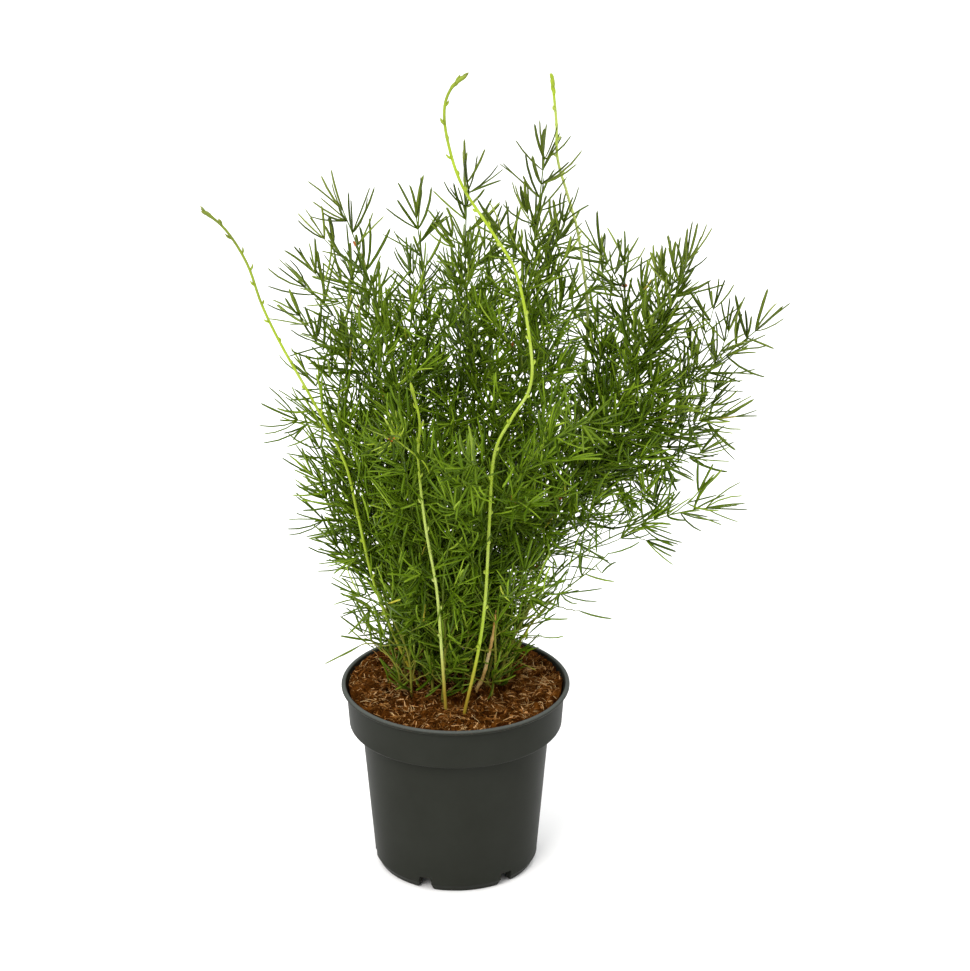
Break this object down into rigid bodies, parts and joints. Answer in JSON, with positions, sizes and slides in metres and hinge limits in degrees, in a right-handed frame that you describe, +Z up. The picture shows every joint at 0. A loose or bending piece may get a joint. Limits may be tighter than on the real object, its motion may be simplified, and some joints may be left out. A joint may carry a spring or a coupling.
{
  "type": "foxtail fern in a nursery pot",
  "caption": "Bushy potted asparagus fern with arching needle-leaved fronds and long bare young shoots, in a round tapered nursery pot with a lip, a wide band and foot slots.",
  "frame": {"origin": "on the ground under the middle of the whole plant's box", "axes": "+Z up; -Y towards the viewer; +X to the viewer's right, the side that the fronds lean to"},
  "size_m": [0.3376, 0.2506, 0.5052],
  "materials": {
    "pot": "satin dark grey-green moulded plastic",
    "potting_mix": "rough fibrous brown coir and peat",
    "frond": "satin mid to dark green needles on green stems",
    "shoot": "smooth pale yellow-green young shoots",
    "dry_stalk": "dry tan old stalk"
  },
  "bodies": {
    "root": {"pot": "pot", "soil": "potting_mix", "frond_upper_left": "frond", "frond_left_high": "frond", "frond_left": "frond", "frond_left_low": "frond", "frond_left_foot": "frond", "frond_top_left": "frond", "frond_crown_left": "frond", "frond_crown": "frond", "frond_right_high": "frond", "frond_right_top": "frond", "frond_far_right": "frond", "frond_right": "frond", "frond_right_low": "frond", "frond_right_foot": "frond", "frond_front_left": "frond", "frond_front": "frond", "frond_front_right": "frond", "frond_front_low_left": "frond", "frond_front_low_right": "frond", "frond_back_left": "frond", "frond_back": "frond", "frond_back_right": "frond", "frond_back_low_left": "frond", "frond_back_low_right": "frond", "shoot_left": "shoot", "shoot_front": "shoot", "shoot_back": "shoot", "shoot_short": "shoot", "old_stalk": "dry_stalk"}
  },
  "joints": []
}
